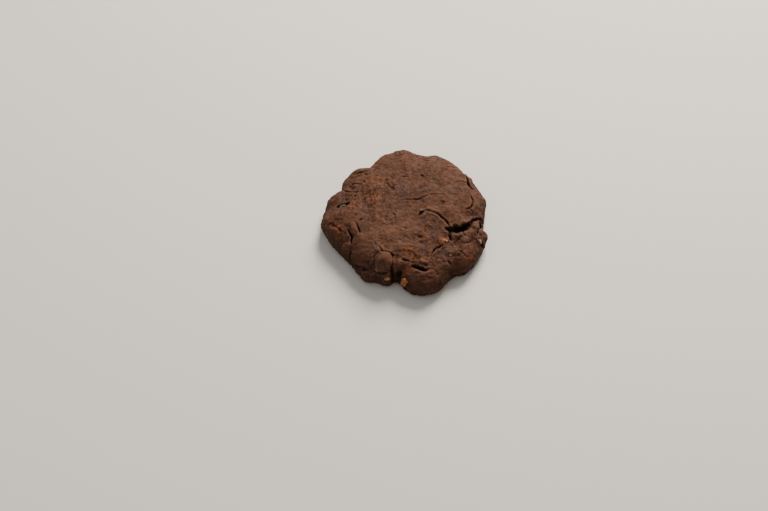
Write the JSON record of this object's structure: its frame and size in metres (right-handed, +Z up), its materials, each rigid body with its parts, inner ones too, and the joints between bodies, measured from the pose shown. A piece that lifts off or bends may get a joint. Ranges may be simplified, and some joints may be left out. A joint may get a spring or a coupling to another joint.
{
  "type": "chunky cocoa cookie",
  "caption": "Thick round dark cookie with a lobed rim, a cracked domed top, a flat underside and bits of nut in its skin.",
  "frame": {"origin": "middle of the flat underside, centred on the outline's box", "axes": "+Z up out of the domed top; the deep front cleft and the front lobe face -Y; the widest crack opens towards +X"},
  "size_m": [0.1108, 0.1152, 0.023],
  "materials": {
    "cocoa_dough": "matte baked crust, fine wrinkles and pores",
    "brown_nut": "satin broken nut, toasted brown",
    "golden_nut": "matte broken nut, golden",
    "pale_nut": "matte broken nut, pale"
  },
  "bodies": {
    "root": {"cookie_dough": "cocoa_dough", "front_nut_chunk": "brown_nut", "crown_nut_flake": "brown_nut", "side_nut_bit": "golden_nut", "foot_nut_bit": "golden_nut", "rim_nut_sliver": "pale_nut", "slit_nut_sliver": "pale_nut", "crack_nut_crumb": "pale_nut", "crown_nut_crumb": "pale_nut"}
  },
  "joints": []
}
